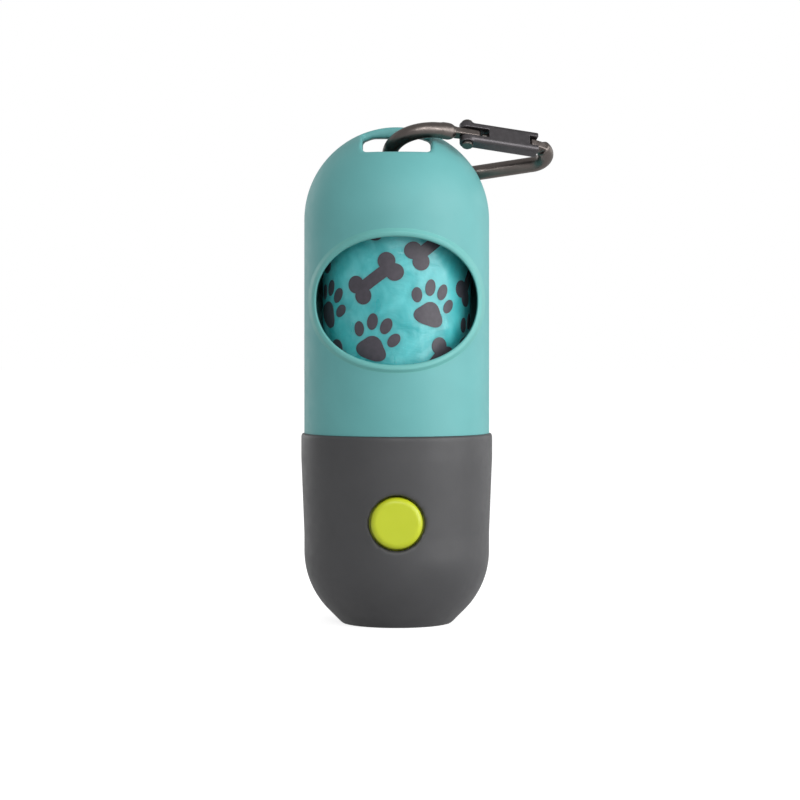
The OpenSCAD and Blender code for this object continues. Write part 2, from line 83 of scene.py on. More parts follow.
def linear(colour: Colour) -> tuple[float, float, float, float]:
    """Turns a display colour into the shader's linear one.

    Args:
        colour: Red, green and blue from 0 to 255.

    Returns:
        Linear red, green, blue and an alpha of 1.
    """
    def channel(value: int) -> float:
        """Linear value of one channel."""
        v = value / 255
        return v / 12.92 if v <= 0.04045 else ((v + 0.055) / 1.055) ** 2.4

    return (*(channel(v) for v in colour), 1.0)


def arc(centre: Point2, radius: float, start: float, end: float, steps: int) -> list[Point2]:
    """Points on a circular arc, both ends included.

    Args:
        centre: Centre of the arc.
        radius: Radius of the arc.
        start: First angle, in degrees.
        end: Last angle, in degrees.
        steps: Number of stretches between the ends.

    Returns:
        The points, from start to end.
    """
    angles = [math.radians(start + (end - start) * i / steps) for i in range(steps + 1)]
    return [(centre[0] + radius * math.cos(a), centre[1] + radius * math.sin(a)) for a in angles]


# ---------------------------------------------------------------- materials


class Graph:
    """A material's node graph, with short calls for the nodes used here."""

    def __init__(self, name: str) -> None:
        """Starts a material whose graph has a Principled shader and an output.

        Args:
            name: Name of the material.
        """
        self.material = bpy.data.materials.new(name)
        self.material.use_nodes = True
        self.nodes = self.material.node_tree.nodes
        self.nodes.clear()
        output = self.nodes.new("ShaderNodeOutputMaterial")
        self.shader = self.nodes.new("ShaderNodeBsdfPrincipled")
        self.link(self.shader.outputs["BSDF"], output.inputs["Surface"])

    def link(self, source: bpy.types.NodeSocket, target: bpy.types.NodeSocket) -> None:
        """Joins two sockets."""
        self.material.node_tree.links.new(source, target)

    def settings(self, **values: float | tuple[float, ...]) -> None:
        """Sets shader sockets, named with underscores for spaces."""
        for name, value in values.items():
            self.shader.inputs[name.replace("_", " ")].default_value = value

    def place(self, stretch: Point3 = (1, 1, 1)) -> bpy.types.NodeSocket:
        """Object coordinates, stretched along the axes.

        Args:
            stretch: Scale of the coordinates along X, Y and Z.

        Returns:
            The mapped vector.
        """
        coordinates = self.nodes.new("ShaderNodeTexCoord")
        mapping = self.nodes.new("ShaderNodeMapping")
        mapping.inputs["Scale"].default_value = stretch
        self.link(coordinates.outputs["Object"], mapping.inputs["Vector"])
        return mapping.outputs["Vector"]

    def noise(self, place: bpy.types.NodeSocket, size_mm: float, detail: float = 2,
              distortion: float = 0) -> bpy.types.NodeSocket:
        """Noise with spots of about a given size.

        Args:
            place: Vector that the noise is read at.
            size_mm: Size of a spot.
            detail: Number of finer layers.
            distortion: How far the spots are swirled.

        Returns:
            The noise value, about 0.3 to 0.7.
        """
        node = self.nodes.new("ShaderNodeTexNoise")
        node.inputs["Scale"].default_value = 1 / (size_mm * MM)
        node.inputs["Detail"].default_value = detail
        node.inputs["Distortion"].default_value = distortion
        self.link(place, node.inputs["Vector"])
        return node.outputs["Fac"]

    def spread(self, value: bpy.types.NodeSocket, low: float, high: float) -> bpy.types.NodeSocket:
        """Maps noise to a range.

        Args:
            value: Noise value.
            low: Result at the noise's low end.
            high: Result at the noise's high end.

        Returns:
            The mapped value.
        """
        node = self.nodes.new("ShaderNodeMapRange")
        node.inputs["From Min"].default_value = NOISE_LOW
        node.inputs["From Max"].default_value = NOISE_HIGH
        node.inputs["To Min"].default_value = low
        node.inputs["To Max"].default_value = high
        self.link(value, node.inputs["Value"])
        return node.outputs["Result"]

    def tint(self, value: bpy.types.NodeSocket, colour: Colour, other: Colour) -> None:
        """Mixes two colours by noise into the shader's base colour.

        Args:
            value: Noise value.
            colour: Colour at the noise's low end.
            other: Colour at the noise's high end.
        """
        node = self.nodes.new("ShaderNodeMix")
        node.data_type = "RGBA"
        node.inputs[MIX_FIRST].default_value = linear(colour)
        node.inputs[MIX_SECOND].default_value = linear(other)
        self.link(self.spread(value, 0, 1), node.inputs[MIX_FACTOR])
        self.link(node.outputs[MIX_RESULT], self.shader.inputs["Base Color"])

    def gloss(self, value: bpy.types.NodeSocket, roughness: float, spread: float) -> None:
        """Lets noise vary the roughness by spread to each side."""
        self.link(self.spread(value, roughness - spread, roughness + spread),
                  self.shader.inputs["Roughness"])

    def bump(self, *layers: tuple[bpy.types.NodeSocket, float]) -> None:
        """Raises the surface by noise layers.

        Args:
            layers: Pairs of a height value and its depth in millimetres.
        """
        before = None
        for height, depth_mm in layers:
            node = self.nodes.new("ShaderNodeBump")
            node.inputs["Distance"].default_value = depth_mm * MM
            self.link(height, node.inputs["Height"])
            if before:
                self.link(before, node.inputs["Normal"])
            before = node.outputs["Normal"]
        self.link(before, self.shader.inputs["Normal"])


@dataclass(frozen=True)
class MouldedPlastic:
    """Moulded plastic with a fine eroded grain and a slightly uneven gloss."""

    name: str
    colour: Colour
    shade: Colour
    roughness: float = 0.45
    grain_mm: float = 0.22
    grain_depth: float = 0.004
    coat: float = 0.0
    coat_roughness: float = 0.25
    blotch_mm: float = 9
    gloss_mm: float = 2.5
    gloss_spread: float = 0.04
    wave_mm: float = 6
    wave_depth: float = 0.006

    def material(self) -> bpy.types.Material:
        """Builds the material.

        Returns:
            The material.
        """
        g = Graph(self.name)
        place = g.place()
        g.settings(Coat_Weight=self.coat, Coat_Roughness=self.coat_roughness)
        g.tint(g.noise(place, self.blotch_mm), self.colour, self.shade)
        g.gloss(g.noise(place, self.gloss_mm, detail=3), self.roughness, self.gloss_spread)
        g.bump((g.noise(place, self.grain_mm), self.grain_depth),
               (g.noise(place, self.wave_mm, detail=1), self.wave_depth))
        return g.material


@dataclass(frozen=True)
class BagFilm:
    """Thin plastic film wound on itself: creases along and round the roll, soft blotches.

    Attributes:
        glow_mm: How deep light wanders under the film.
        glow_reach: Share of that depth that red, green and blue reach.
        along: Stretch of the pattern that runs up the roll.
        around: Stretch of the pattern that runs round it.
    """

    name: str
    colour: Colour
    shade: Colour
    roughness: float = 0.33
    gloss_mm: float = 3
    gloss_spread: float = 0.06
    shine: float = 0.7
    glow: float = 0.6
    glow_mm: float = 4.0
    glow_reach: Point3 = (0.15, 1, 1)
    along: Point3 = (1, 1, 0.3)
    around: Point3 = (1, 1, 1.8)
    blotch_mm: float = 5
    blotch_stretch: Point3 = (1, 1, 0.8)
    long_crease_mm: float = 4
    long_crease_depth: float = 0.16
    cross_crease_mm: float = 6
    cross_crease_depth: float = 0.22
    grain_mm: float = 0.6
    grain_depth: float = 0.004

    def material(self) -> bpy.types.Material:
        """Builds the material.

        Returns:
            The material.
        """
        g = Graph(self.name)
        g.settings(Specular_IOR_Level=self.shine, Subsurface_Weight=self.glow,
                   Subsurface_Scale=self.glow_mm * MM, Subsurface_Radius=self.glow_reach)
        along, around = g.place(self.along), g.place(self.around)
        blotches = g.noise(g.place(self.blotch_stretch), self.blotch_mm, detail=3, distortion=0.8)
        g.tint(blotches, self.colour, self.shade)
        g.gloss(g.noise(along, self.gloss_mm, detail=3), self.roughness, self.gloss_spread)
        g.bump(
            (g.noise(along, self.long_crease_mm, distortion=0.6), self.long_crease_depth),
            (g.noise(around, self.cross_crease_mm, detail=3, distortion=0.9),
             self.cross_crease_depth),
            (g.noise(g.place(), self.grain_mm, detail=1), self.grain_depth))
        return g.material


@dataclass(frozen=True)
class PrintInk:
    """Ink printed on the film, a little drier than the film."""

    name: str
    colour: Colour
    shade: Colour
    roughness: float = 0.42
    blotch_mm: float = 1.2
    gloss_mm: float = 1.6
    gloss_spread: float = 0.06
    gloss_stretch: Point3 = (1, 1, 0.2)
    crease_mm: float = 2.4
    crease_depth: float = 0.05
    crease_stretch: Point3 = (1, 1, 0.16)

    def material(self) -> bpy.types.Material:
        """Builds the material.

        Returns:
            The material.
        """
        g = Graph(self.name)
        g.tint(g.noise(g.place(), self.blotch_mm, detail=3), self.colour, self.shade)
        g.gloss(g.noise(g.place(self.gloss_stretch), self.gloss_mm, detail=3),
                self.roughness, self.gloss_spread)
        creases = g.noise(g.place(self.crease_stretch), self.crease_mm, distortion=0.5)
        g.bump((creases, self.crease_depth))
        return g.material


@dataclass(frozen=True)
class Metal:
    """Metal with fine brushing or a cast skin."""

    name: str
    colour: Colour
    shade: Colour
    roughness: float = 0.3
    brush: Point3 = (1, 1, 1)
    grain_mm: float = 0.3
    grain_depth: float = 0.004
    blotch_mm: float = 3
    gloss_mm: float = 1.2
    gloss_spread: float = 0.06

    def material(self) -> bpy.types.Material:
        """Builds the material.

        Returns:
            The material.
        """
        g = Graph(self.name)
        g.settings(Metallic=1.0)
        g.tint(g.noise(g.place(), self.blotch_mm, detail=3), self.colour, self.shade)
        g.gloss(g.noise(g.place(self.brush), self.gloss_mm, detail=3),
                self.roughness, self.gloss_spread)
        g.bump((g.noise(g.place(self.brush), self.grain_mm), self.grain_depth))
        return g.material


@dataclass(frozen=True)
class ClearPlastic:
    """Clear plastic, as in the lens and the lamp's dome."""

    name: str
    colour: Colour
    roughness: float = 0.05
    clearness: float = 1.0
    index: float = 1.49
    gloss_mm: float = 3
    gloss_spread: float = 0.02
    wave_mm: float = 5
    wave_depth: float = 0.004

    def material(self) -> bpy.types.Material:
        """Builds the material.

        Returns:
            The material.
        """
        g = Graph(self.name)
        g.settings(Transmission_Weight=self.clearness, IOR=self.index,
                   Base_Color=linear(self.colour))
        g.gloss(g.noise(g.place(), self.gloss_mm), self.roughness, self.gloss_spread)
        g.bump((g.noise(g.place(), self.wave_mm, detail=1), self.wave_depth))
        return g.material


@dataclass(frozen=True)
class Board:
    """Grey board wound in plies, as in the roll's core."""

    name: str
    colour: Colour
    shade: Colour
    roughness: float = 0.9
    fuzz: float = 0.15
    ply_stretch: Point3 = (1, 1, 3)
    fibre_mm: float = 0.8
    grain_mm: float = 0.25
    grain_depth: float = 0.03

    def material(self) -> bpy.types.Material:
        """Builds the material.

        Returns:
            The material.
        """
        g = Graph(self.name)
        place = g.place(self.ply_stretch)
        g.tint(g.noise(place, self.fibre_mm, detail=4), self.colour, self.shade)
        g.settings(Roughness=self.roughness, Sheen_Weight=self.fuzz)
        g.bump((g.noise(place, self.grain_mm, detail=3), self.grain_depth))
        return g.material


TEAL = MouldedPlastic("teal_shell", (97, 168, 168), (101, 173, 173), 0.5)
# Painted light: the lip is the same teal moulding as the shell. This lighter copy of the teal paints the
# light that the rounded lip catches.
PAINTED_LIGHT_TEAL_LIP = MouldedPlastic("painted_light_lip_teal", (103, 177, 173), (108, 181, 177), 0.52)
GREY = MouldedPlastic("grey_cup", (64, 64, 66), (68, 68, 70), 0.46, 0.2, 0.005)
SEAT_GREY = MouldedPlastic("grey_seat", (78, 78, 81), (84, 84, 87), 0.55)
BLACK = MouldedPlastic("black_plastic", (34, 34, 36), (40, 40, 42), 0.5)
LIME = MouldedPlastic("lime_button", (191, 203, 26), (197, 208, 36), 0.36, coat=0.2)
WHITE_PLASTIC = MouldedPlastic("white_plunger", (216, 216, 214), (222, 222, 220), 0.4)
RUBBER = MouldedPlastic("seal_rubber", (30, 30, 31), (37, 37, 38), 0.7)
GREEN_BOARD = MouldedPlastic("green_board", (40, 100, 52), (46, 110, 58), 0.35, 0.5, 0.01, 0.4)
FILM = BagFilm("bag_film", (50, 172, 177), (98, 204, 208))
INK = PrintInk("bag_print", (63, 59, 67), (72, 67, 76))
CORE_BOARD = Board("core_board", (176, 150, 112), (190, 164, 126))
GUNMETAL = Metal("gunmetal", (104, 97, 94), (109, 102, 98), 0.37, grain_mm=0.8, grain_depth=0.0005)
GATE_METAL = Metal("gate_metal", (82, 80, 82), (90, 87, 89), 0.42, grain_mm=0.2)
RIVET = Metal("rivet_steel", (96, 92, 88), (104, 100, 96), 0.3, grain_depth=0.002)
STEEL = Metal("plated_steel", (196, 197, 199), (206, 207, 209), 0.24, (1, 1, 6))
BRASS = Metal("contact_brass", (212, 184, 122), (220, 194, 134), 0.28)
MIRROR = Metal("mirror_plating", (226, 227, 229), (232, 233, 235), 0.08, grain_depth=0.001)
LENS = ClearPlastic("lens_clear", (240, 246, 246))
LAMP = ClearPlastic("lamp_epoxy", (250, 248, 226), 0.12, 0.7)

Finish = MouldedPlastic | BagFilm | PrintInk | Metal | ClearPlastic | Board

CAD_FINISHES: dict[str, Finish] = {
    "roll_seat": SEAT_GREY, "battery_door": SEAT_GREY, "door_screws": STEEL,
    "contact_plate": BRASS, "cell_1": STEEL, "cell_2": STEEL, "cell_3": STEEL,
    "contact_spring": BRASS, "battery_holder": BLACK, "contact_strip": BRASS,
    "lamp_board": GREEN_BOARD, "board_screws": STEEL, "led": LAMP, "reflector": MIRROR,
    "lens": LENS, "lens_seal": RUBBER, "switch_body": BLACK, "switch_board": GREEN_BOARD,
    "switch_plunger": WHITE_PLASTIC, "roll_core": CORE_BOARD, "gate_spring": STEEL,
    "gate_plunger": RIVET,
}


class Paint:
    """Keeps one material for each finish."""

    made: dict[str, bpy.types.Material] = {}

    @classmethod
    def coat(cls, obj: bpy.types.Object, finish: Finish) -> None:
        """Gives an object one finish all over.

        Args:
            obj: Object to dress.
            finish: Finish, whose material is built at its first use.
        """
        if finish.name not in cls.made:
            cls.made[finish.name] = finish.material()
        obj.data.materials.clear()
        obj.data.materials.append(cls.made[finish.name])


# ---------------------------------------------------------------- modelling


def pick(obj: bpy.types.Object) -> None:
    """Makes an object the only one selected, and active.

    Args:
        obj: Object that the next operators act on.
    """
    bpy.ops.object.select_all(action="DESELECT")
    obj.select_set(True)
    bpy.context.view_layer.objects.active = obj


class Solid:
    """A closed mesh under the maker's hands, in millimetres."""

    def __init__(self, obj: bpy.types.Object) -> None:
        """Takes an object over."""
        self.obj = obj

    @classmethod
    def cylinder(cls, radius: float, low: float, high: float, sides: int) -> "Solid":
        """Upright cylinder on the capsule's axis.

        Args:
            radius: Radius of the cylinder.
            low: Height of its foot.
            high: Height of its top.
            sides: Number of sides.

        Returns:
            The cylinder.
        """
        bpy.ops.object.select_all(action="DESELECT")
        bpy.ops.mesh.primitive_cylinder_add(
            vertices=sides, radius=radius, depth=high - low, location=(0, 0, (low + high) / 2))
        return cls(bpy.context.object).settled()

    @classmethod
    def block(cls, low: Point3, high: Point3) -> "Solid":
        """Box between two corners.

        Args:
            low: Corner with the smallest coordinates.
            high: Corner with the largest coordinates.

        Returns:
            The box.
        """
        bpy.ops.object.select_all(action="DESELECT")
        middle = [(a + b) / 2 for a, b in zip(low, high)]
        bpy.ops.mesh.primitive_cube_add(size=1, location=middle)
        bpy.context.object.scale = [b - a for a, b in zip(low, high)]
        return cls(bpy.context.object).settled()

    @classmethod
    def outline(cls, points: Sequence[Point3], closed: bool = True) -> "Solid":
        """Mesh of one face, or of one open line.

        Args:
            points: Corners of the face, or points of the line.
            closed: Whether the points bound a face.

        Returns:
            The flat mesh.
        """
        mesh = bpy.data.meshes.new("outline")
        edges = [] if closed else [(i, i + 1) for i in range(len(points) - 1)]
        faces = [list(range(len(points)))] if closed else []
        mesh.from_pydata([Vector(p) for p in points], edges, faces)
        obj = bpy.data.objects.new("outline", mesh)
        bpy.context.scene.collection.objects.link(obj)
        return cls(obj)

    @classmethod
    def prism(cls, points: Sequence[Point2], height: float) -> "Solid":
        """Prism that stands on a flat outline, made by extruding its face.

        Args:
            points: Outline in the XY plane.
            height: Height of the prism.

        Returns:
            The prism, with its foot at z = 0.
        """
        solid = cls.outline([(x, y, 0) for x, y in points])
        solid.edit(lambda: bpy.ops.mesh.extrude_region_move(
            TRANSFORM_OT_translate={"value": (0, 0, height)}))
        return solid.outward()

    @classmethod
    def spun(cls, profile: Sequence[Point2], sides: int = 256, ring: bool = False) -> "Solid":
        """Solid of revolution about the capsule's axis.

        Args:
            profile: Points of radius and height, from axis to axis, or round a ring's section.
            sides: Number of steps round the axis.
            ring: Whether the profile closes on itself.

        Returns:
            The solid.
        """
        points = [(r, 0.0, z) for r, z in profile]
        if ring:
            points.append(points[0])
        solid = cls.outline(points, closed=False)
        solid.edit(lambda: bpy.ops.mesh.spin(
            steps=sides, angle=FULL_TURN, center=(0, 0, 0), axis=(0, 0, 1)))
        return solid.outward()

    @classmethod
    def copy_of(cls, node: str) -> "Solid":
        """Merged copy of a CAD node's mesh, brought to millimetres.

        Args:
            node: Name of the CAD node.

        Returns:
            The copy, which no longer counts as the node.
        """
        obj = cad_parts[node].copy()
        obj.data = obj.data.copy()
        obj.parent = None
        for key in list(obj.keys()):
            del obj[key]
        bpy.context.scene.collection.objects.link(obj)
        obj.scale = (1 / MM,) * 3
        solid = cls(obj).settled()
        return solid.edit(lambda: bpy.ops.mesh.remove_doubles(threshold=MERGE_MM))

    def edit(self, *steps: Callable[[], object]) -> "Solid":
        """Runs steps in edit mode.

        Args:
            steps: Calls to make in turn, the first with the whole mesh selected.

        Returns:
            The solid itself.
        """
        pick(self.obj)
        bpy.ops.object.mode_set(mode="EDIT")
        bpy.ops.mesh.select_all(action="SELECT")
        for step in steps:
            step()
        bpy.ops.object.mode_set(mode="OBJECT")
        return self

    def settled(self) -> "Solid":
        """Applies the object's place, turn and scale to its mesh.

        Returns:
            The solid itself.
        """
        pick(self.obj)
        bpy.ops.object.transform_apply(location=True, rotation=True, scale=True)
        return self

    def outward(self) -> "Solid":
        """Merges doubles and turns all faces outwards.

        Returns:
            The solid itself.
        """
        return self.edit(
            lambda: bpy.ops.mesh.remove_doubles(threshold=MERGE_MM),
            lambda: bpy.ops.mesh.normals_make_consistent(inside=False))

    def moved(self, matrix: Matrix) -> "Solid":
        """Moves the mesh itself, not its object.

        Args:
            matrix: Where every point goes.

        Returns:
            The solid itself.
        """
        self.obj.data.transform(matrix)
        self.obj.data.update()
        return self

    def facing_front(self, height: float) -> "Solid":
        """Lays an upright solid towards the front, with its axis at a height."""
        turn = Matrix.Rotation(math.pi / 2, 4, "X")
        return self.moved(Matrix.Translation((0, 0, height)) @ turn)

    def modified(self, kind: str, **settings: object) -> "Solid":
        """Adds a modifier and applies it.

        Args:
            kind: Type of the modifier.
            settings: Values of its properties.

        Returns:
            The solid itself.
        """
        pick(self.obj)
        modifier = self.obj.modifiers.new(kind.lower(), kind)
        for name, value in settings.items():
            setattr(modifier, name, value)
        bpy.ops.object.modifier_apply(modifier=modifier.name)
        return self

    def combined(self, other: "Solid", operation: str) -> "Solid":
        """Joins, cuts or keeps the overlap with another solid.

        Args:
            other: The other solid, which is used up.
            operation: UNION, DIFFERENCE or INTERSECT.

        Returns:
            The solid itself.
        """
        self.modified("BOOLEAN", operation=operation, object=other.obj, solver="MANIFOLD")
        bpy.data.objects.remove(other.obj)
        return self

    def cut(self, other: "Solid") -> "Solid":
        """Takes another solid away."""
        return self.combined(other, "DIFFERENCE")

    def add(self, other: "Solid") -> "Solid":
        """Joins another solid on."""
        return self.combined(other, "UNION")

    def keep(self, other: "Solid") -> "Solid":
        """Keeps what lies inside another solid."""
        return self.combined(other, "INTERSECT")

    def with_parts(self, others: Sequence["Solid"]) -> "Solid":
        """Takes in other meshes.

        Args:
            others: Meshes that don't overlap this one.

        Returns:
            The solid itself.
        """
        pick(self.obj)
        for other in others:
            other.obj.select_set(True)
        bpy.ops.object.join()
        return self

    def softened(self, cell: float, passes: int) -> "Solid":
        """Rounds every edge a little, as a mould does.

        Args:
            cell: Size of the new mesh's faces, which sets how round the edges are.
            passes: Number of smoothing passes.

        Returns:
            The solid itself.
        """
        self.modified("REMESH", mode="VOXEL", voxel_size=cell)
        return self.modified("SMOOTH", factor=0.5, iterations=passes)

    def finished(self, name: str, body: Body, slot: str, finish: Finish,
                 nodes: Sequence[str] = (), sharp: float = 60) -> bpy.types.Object:
        """Turns the solid into a piece of the dispenser.

        Args:
            name: Name of the piece.
            body: Rigid body that it rides on.
            slot: Material slot name; not used.
            finish: Finish of its surface.
            nodes: CAD nodes that it stands for.
            sharp: Edges that turn by more than this, in degrees, stay sharp.

        Returns:
            The piece.
        """
        obj = self.obj
        obj.scale = (MM,) * 3
        self.settled()
        obj.name = obj.data.name = name
        bpy.ops.object.shade_smooth_by_angle(angle=math.radians(sharp))
        Paint.coat(obj, finish)
        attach(obj, body.value)
        if nodes:
            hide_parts(*nodes)
        LOG.info("%s: %d faces, on %s", name, len(obj.data.polygons), body.value)
        return obj


# ---------------------------------------------------------------- sub-assemblies


@dataclass
class TopShell:
    """Teal shell: a tube with an oval window under a dome with a strap across its top.

    Attributes:
        window_power: How square the window's oval is, where 2 is an ellipse.
        reach: How far cutting blocks go past the wall.
        spare: Length under the rim that is cut off after the edges are softened.
        seat_gap: Hair of room between the rim and the seat that it stands on.
    """

    radius: float = 21.3
    bore: float = 19.5
    rim_z: float = 43.6
    dome_z: float = 92.7
    dome_steps: int = 64
    window_w: float = 36.6
    window_h: float = 28.6
    window_z: float = 73.9
    window_power: float = 2.15
    window_sides: int = 160
    lip_w: float = 1.9
    lip_rise: float = 0.6
    lip_steps: int = 12
    lip_sides: int = 240
    slot_half: float = 7.75
    slot_z: float = 107.5
    strap_half: float = 2.6
    strap_z: float = 111.4
    relief_half: float = 18.6
    relief_z: float = 99.4
    relief_wall: float = 1.6
    reach: float = 30.0
    spare: float = 1.5
    seat_gap: float = 0.02
    cell: float = 0.455
    passes: int = 4

    def capsule(self, radius: float, low: float) -> Solid:
        """Tube with a domed top.

        Args:
            radius: Radius of tube and dome.
            low: Height of the tube's foot.

        Returns:
            The capsule.
        """
        dome = arc((0, self.dome_z), radius, 0, 90, self.dome_steps)
        dome[-1] = (0, self.dome_z + radius)
        return Solid.spun([(0, low), (radius, low), *dome])

    def oval(self, turn: float, extra: float) -> Point2:
        """Point of the window's oval with its squarer corners.

        Args:
            turn: Angle of the point, in radians.
            extra: Distance outside the window's edge.

        Returns:
            X and the height above the window's centre.
        """
        halves = (self.window_w / 2 + extra, self.window_h / 2 + extra)
        return tuple(half * math.copysign(abs(value) ** (2 / self.window_power), value)
                     for half, value in zip(halves, (math.cos(turn), math.sin(turn))))

    def window(self, extra: float) -> Solid:
        """Prism through the front wall on the window's oval.

        Args:
            extra: Distance outside the window's edge.

        Returns:
            The prism.
        """
        steps = self.window_sides
        points = [self.oval((i + 0.5) * FULL_TURN / steps, extra) for i in range(steps)]
        return Solid.prism(points, self.reach).facing_front(self.window_z)

    def lip(self) -> Solid:
        """Rounded lip: a ring spun flat, then wrapped on the wall along the oval.

        Returns:
            The lip, with its root sunk into the wall.
        """
        half, wall, start, steps = self.lip_w / 2, self.radius - self.bore, self.reach, self.lip_steps
        section = [(half * (2 - i / steps), self.lip_rise * (1 - math.cos(math.pi * i / steps)) / 2)
                   for i in range(steps)]
        section += [(half * (1 + x), self.lip_rise * h) for x, h in arc((0, 0), 1, 90, 180, steps)]
        section += [(0.0, -wall), (half, -wall), (self.lip_w, -wall / 4)]
        ring = Solid.spun([(start + x, h) for x, h in section], self.lip_sides, ring=True)
        for vertex in ring.obj.data.vertices:
            x, y, h = vertex.co
            across, up = self.oval(math.atan2(y, x), math.hypot(x, y) - start)
            out = math.sqrt((self.radius + h) ** 2 - across ** 2)
            vertex.co = (across, -out, self.window_z + up)
        return ring.outward()

    def cavity(self) -> Solid:
        """Hollow of the shell.

        Returns:
            The hollow, without the strap and the walls round the relief.
        """
        hollow = self.capsule(self.bore, self.rim_z - 3 * self.spare)
        strap, wall, top = self.strap_half, self.relief_wall, self.dome_z + self.reach
        edge = self.relief_half + wall
        hollow.cut(Solid.block((-self.reach, -strap, self.strap_z), (self.reach, strap, top)))
        hollow.cut(Solid.block((-edge, strap - wall, self.relief_z - wall),
                               (edge, self.reach, self.relief_z)))
        for low, high in ((-edge, -self.slot_half), (self.slot_half, edge)):
            hollow.cut(Solid.block((low, strap - wall, self.relief_z - wall), (high, strap, top)))
        return hollow

    def build(self) -> None:
        """Builds and dresses the shell and its lip."""
        shell = self.capsule(self.radius, self.rim_z - self.spare)
        shell.cut(self.cavity())
        shell.cut(self.window(self.lip_w / 2))
        top = self.dome_z + self.reach
        shell.cut(Solid.block((-self.slot_half, -self.reach, self.slot_z),
                              (self.slot_half, -self.strap_half, top)))
        shell.cut(Solid.block((-self.relief_half, self.strap_half, self.relief_z),
                              (self.relief_half, self.reach, top)))
        shell.softened(self.cell, self.passes)
        shell.cut(Solid.block((-self.reach, -self.reach, self.rim_z - 2 * self.spare),
                              (self.reach, self.reach, self.rim_z + self.seat_gap)))
        shell.finished("shell_moulding", Body.SHELL, "shell_teal", TEAL, ["top_shell"])
        # The lip wears the lighter teal, which paints light on it.
        self.lip().finished("window_lip", Body.SHELL, "shell_teal", PAINTED_LIGHT_TEAL_LIP)


@dataclass
class FlashlightCup:
    """Grey cup with its lens opening, button hole and board posts.

    Attributes:
        round_r: Radius of the round that leads from the waist down to the base.
        round_centre: Its centre, as radius and height.
        round_start: Angle at which the round meets the base, in degrees.
        post_wall: How far a post stays inside the round.
        post_gap: Room between a post and the lens pocket.
    """

    rim_r: float = 22.0
    rim_z: float = 43.6
    rim_band: float = 5.6
    rim_chamfer: float = 0.3
    rim_bore: float = 19.9
    waist_r: float = 21.3
    waist_rise: float = 4.0
    bore: float = 19.3
    seat_z: float = 39.2
    ledge: float = 1.0
    ledge_t: float = 1.5
    base_r: float = 12.6
    opening_r: float = 9.8
    pocket_r: float = 11.0
    pocket_low: float = 1.6
    pocket_high: float = 5.0
    round_r: float = 19.0
    round_centre: Point2 = (2.3, 16.57)
    round_start: float = -45
    round_steps: int = 24
    inner_round_r: float = 17.0
    button_hole_r: float = 6.25
    button_z: float = 24.3
    hole_spare: float = 5.0
    post_r: float = 2.0
    post_ring_r: float = 14.8
    post_top: float = 14.6
    post_wall: float = 1.0
    post_gap: float = 0.2
    post_angles: Point3 = (90, 210, 330)
    post_sides: int = 48
    cut_sides: int = 128
    cell: float = 0.41
    passes: int = 4

    def profile(self) -> list[Point2]:
        """Section of the cup's wall.

        Returns:
            Points of radius and height, from the base opening round and back.
        """
        centre, waist_z = self.round_centre, self.round_centre[1] + self.waist_rise
        outer = arc(centre, self.round_r, self.round_start, 0, self.round_steps)
        floor = math.degrees(math.asin((centre[1] - self.pocket_high) / self.inner_round_r))
        inner = arc(centre, self.inner_round_r, 0, -floor, self.round_steps)
        ledge_r, under = self.bore - self.ledge, self.seat_z - self.ledge_t
        return [
            (self.opening_r, 0), (self.base_r, 0), *outer, (self.waist_r, waist_z),
            (self.rim_r, self.rim_z - self.rim_band), (self.rim_r, self.rim_z - self.rim_chamfer),
            (self.rim_r - self.rim_chamfer, self.rim_z), (self.rim_bore, self.rim_z),
            (self.rim_bore, self.seat_z), (ledge_r, self.seat_z), (ledge_r, under),
            (self.bore, under - self.ledge), *inner, (self.pocket_r, self.pocket_high),
            (self.pocket_r, self.pocket_low), (self.opening_r, self.pocket_low)]

    def post(self, angle: float) -> Solid:
        """Post for a board screw, cut to the wall's slope.

        Args:
            angle: Where the post stands, in degrees from the X axis.

        Returns:
            The post.
        """
        x, y = (self.post_ring_r * f(math.radians(angle)) for f in (math.cos, math.sin))
        post = Solid.cylinder(self.post_r, self.pocket_low, self.post_top, self.post_sides)
        post.moved(Matrix.Translation((x, y, 0)))
        skin_r = self.round_r - self.post_wall
        room = arc(self.round_centre, skin_r, self.round_start, 0, self.round_steps)
        low = (self.pocket_r + self.post_gap, room[0][1])
        room = [low, *room, (room[-1][0], self.rim_z), (low[0], self.rim_z)]
        return post.keep(Solid.spun(room, self.cut_sides, ring=True))

    def build(self) -> None:
        """Builds and dresses the cup."""
        cup = Solid.spun(self.profile(), ring=True)
        for angle in self.post_angles:
            cup.add(self.post(angle))
        hole = Solid.cylinder(self.button_hole_r, 0, self.rim_r + self.hole_spare, self.cut_sides)
        cup.cut(hole.facing_front(self.button_z))
        cup.softened(self.cell, self.passes)
        cup.finished("cup_moulding", Body.FLASHLIGHT, "cup_grey", GREY, ["flashlight_cup"])


@dataclass
class NeckThread:
    """Thread on the roll seat's neck, which the shell screws onto.

    Attributes:
        sink: How far the thread's root lies inside the neck.
        crest: Where the flat crest starts and ends, as shares of the width.
    """

    neck_r: float = 18.9
    low_z: float = 45.2
    pitch: float = 2.2
    turns: int = 2
    steps: int = 96
    height: float = 0.4
    width: float = 1.1
    sink: float = 0.1
    crest: Point2 = (0.35, 0.65)

    def build(self) -> None:
        """Builds the thread by screwing a small section up the neck."""
        root, tip, low = self.neck_r - self.sink, self.neck_r + self.height, self.low_z
        rise, fall = (low + self.width * share for share in self.crest)
        section = [(root, 0, low), (tip, 0, rise), (tip, 0, fall), (root, 0, low + self.width)]
        thread = Solid.outline([*section, section[0]], closed=False)
        thread.edit(lambda: bpy.ops.mesh.remove_doubles(threshold=MERGE_MM))
        thread.modified("SCREW", axis="Z", angle=FULL_TURN, screw_offset=self.pitch,
                        iterations=self.turns, steps=self.steps, render_steps=self.steps,
                        use_merge_vertices=True)
        thread.edit(lambda: bpy.ops.mesh.fill_holes(sides=len(section)),
                    lambda: bpy.ops.mesh.normals_make_consistent(inside=False))
        thread.finished("neck_thread", Body.FLASHLIGHT, "seat_grey", SEAT_GREY, sharp=30)


